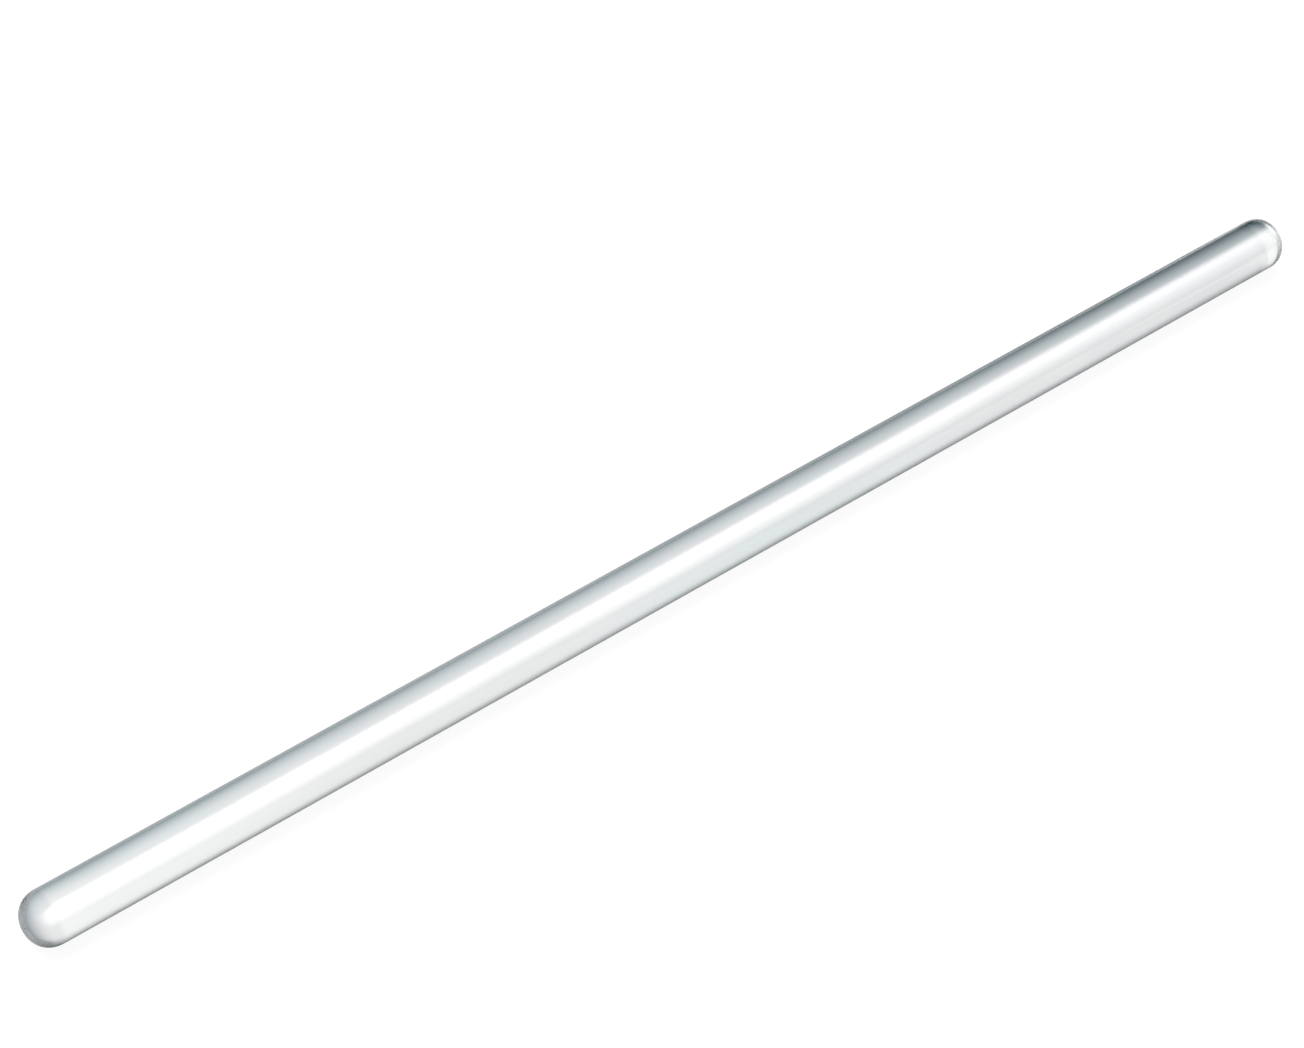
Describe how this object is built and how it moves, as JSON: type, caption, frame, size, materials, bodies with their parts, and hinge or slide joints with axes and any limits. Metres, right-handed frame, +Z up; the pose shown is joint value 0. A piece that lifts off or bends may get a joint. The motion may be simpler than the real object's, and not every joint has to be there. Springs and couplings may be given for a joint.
{
  "type": "glass stirring rod",
  "caption": "Straight solid glass rod with both ends melted round, for stirring and for guiding a pour in laboratory glassware.",
  "frame": {"origin": "centre of the rod, on its own axis and halfway along its length", "axes": "+X along the rod's axis from the rounder stirring end to the flatter plain end, +Z up when the rod lies level"},
  "size_m": [0.2, 0.007, 0.007],
  "materials": {
    "clear_glass": "polished clear glass with a faint grey-green cast, flame-smoothed ends"
  },
  "bodies": {
    "root": {"glass_rod": "clear_glass"}
  },
  "joints": []
}
